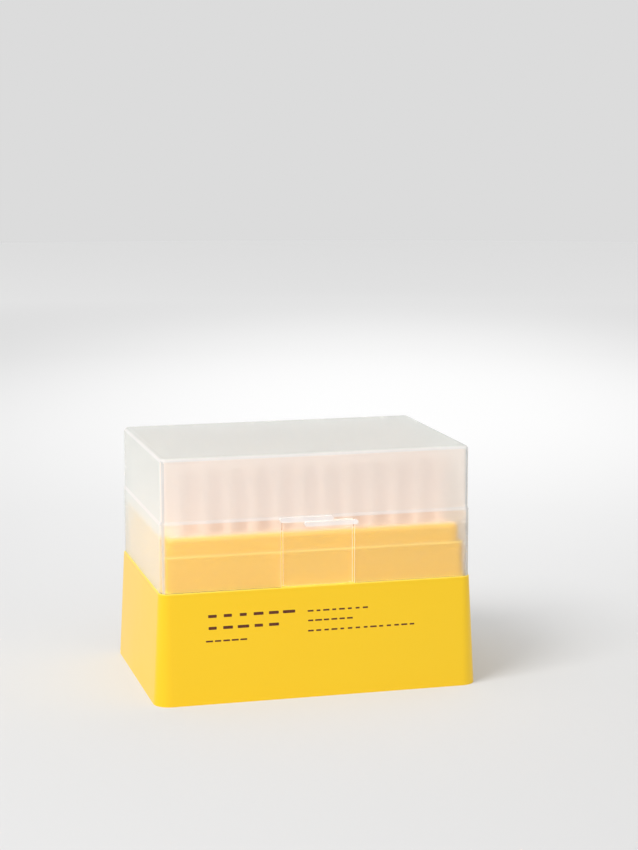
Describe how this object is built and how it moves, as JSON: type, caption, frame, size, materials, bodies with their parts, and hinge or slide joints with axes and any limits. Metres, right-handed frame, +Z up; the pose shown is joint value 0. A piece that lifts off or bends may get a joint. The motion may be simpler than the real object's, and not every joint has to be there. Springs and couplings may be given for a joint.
{
  "type": "pipette tip box",
  "caption": "Laboratory box with a flared base, a drilled tray of long hollow pipette tips standing on a square grid, and a frosted lift-off lid with a bending latch on each long side.",
  "frame": {"origin": "middle of the footprint, on the surface that the box stands on", "axes": "+Z up, +X along the long side, the front with its latch faces -Y"},
  "size_m": [0.1232, 0.0848, 0.0911],
  "materials": {
    "yellow_plastic": "satin moulded polypropylene",
    "natural_plastic": "translucent natural polypropylene",
    "frosted_plastic": "translucent frosted polypropylene"
  },
  "bodies": {
    "base": {"base": "yellow_plastic", "tip_tray": "yellow_plastic", "tips_column_01": "natural_plastic", "tips_column_02": "natural_plastic", "tips_column_03": "natural_plastic", "tips_column_04": "natural_plastic", "tips_column_05": "natural_plastic", "tips_column_06": "natural_plastic", "tips_column_07": "natural_plastic", "tips_column_08": "natural_plastic", "tips_column_09": "natural_plastic", "tips_column_10": "natural_plastic", "tips_column_11": "natural_plastic", "tips_column_12": "natural_plastic"},
    "lid": {"lid": "frosted_plastic"},
    "front_latch": {"front_latch": "frosted_plastic"},
    "rear_latch": {"rear_latch": "frosted_plastic"}
  },
  "joints": [
    {"name": "lid_lift", "type": "slide", "parent": "base", "child": "lid", "axis": [0, 0, 1], "range_m": [0, 0.06]},
    {"name": "front_latch_bend", "type": "hinge", "parent": "lid", "child": "front_latch", "pos_m": [0, -0.0392, 0.0654], "axis": [-1, 0, 0], "range_deg": [0, 6], "stiffness_Nm_per_rad": 0.3},
    {"name": "rear_latch_bend", "type": "hinge", "parent": "lid", "child": "rear_latch", "pos_m": [0, 0.0392, 0.0654], "axis": [1, 0, 0], "range_deg": [0, 6], "stiffness_Nm_per_rad": 0.3}
  ]
}
